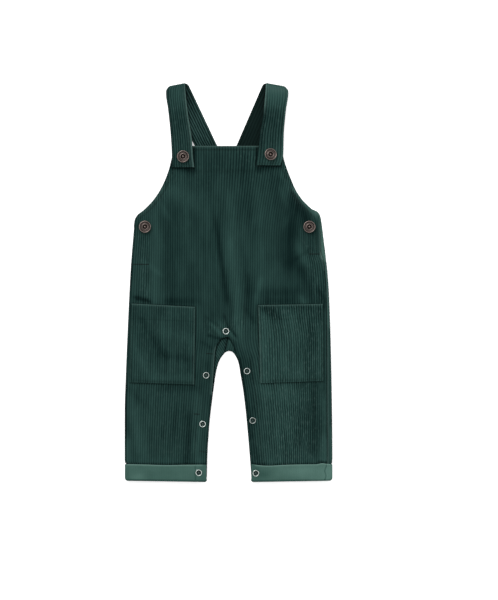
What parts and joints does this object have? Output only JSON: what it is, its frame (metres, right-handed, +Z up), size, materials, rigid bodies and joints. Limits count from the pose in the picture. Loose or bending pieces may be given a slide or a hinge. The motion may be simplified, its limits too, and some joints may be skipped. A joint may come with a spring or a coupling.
{
  "type": "toddler bib overalls",
  "caption": "Corduroy bib overalls for a toddler, laid flat on their back with turned-up cuffs, ring snaps down the inside legs and tack buttons at the bib and sides",
  "frame": {"origin": "Under the middle of the garment's bounding box, on the surface it lies on", "axes": "+X across the garment to the wearer's left, +Y from the hems to the shoulder folds, +Z up from the surface through the back panel to the front"},
  "size_m": [0.2896, 0.5595, 0.0155],
  "materials": {
    "corduroy": "cotton corduroy, about eight wales to the inch, soft nap, no sheen",
    "corduroy_wrong_side": "the plain woven wrong side of the corduroy, paler",
    "antique_bronze": "darkened cast metal, worn brighter on the rims",
    "nickel": "bright nickel plate"
  },
  "bodies": {
    "root": {"back": "corduroy", "placket_left": "corduroy", "placket_right": "corduroy", "front": "corduroy", "pocket_left": "corduroy", "pocket_right": "corduroy", "strap_left": "corduroy", "strap_right": "corduroy", "cuff_left": "corduroy_wrong_side", "cuff_right": "corduroy_wrong_side", "button_bib_left": "antique_bronze", "button_bib_right": "antique_bronze", "button_side_left": "antique_bronze", "button_side_right": "antique_bronze", "snap_crotch": "nickel", "snap_left_thigh": "nickel", "snap_left_shin": "nickel", "snap_left_cuff": "nickel", "snap_right_thigh": "nickel", "snap_right_shin": "nickel", "snap_right_cuff": "nickel"}
  },
  "joints": []
}
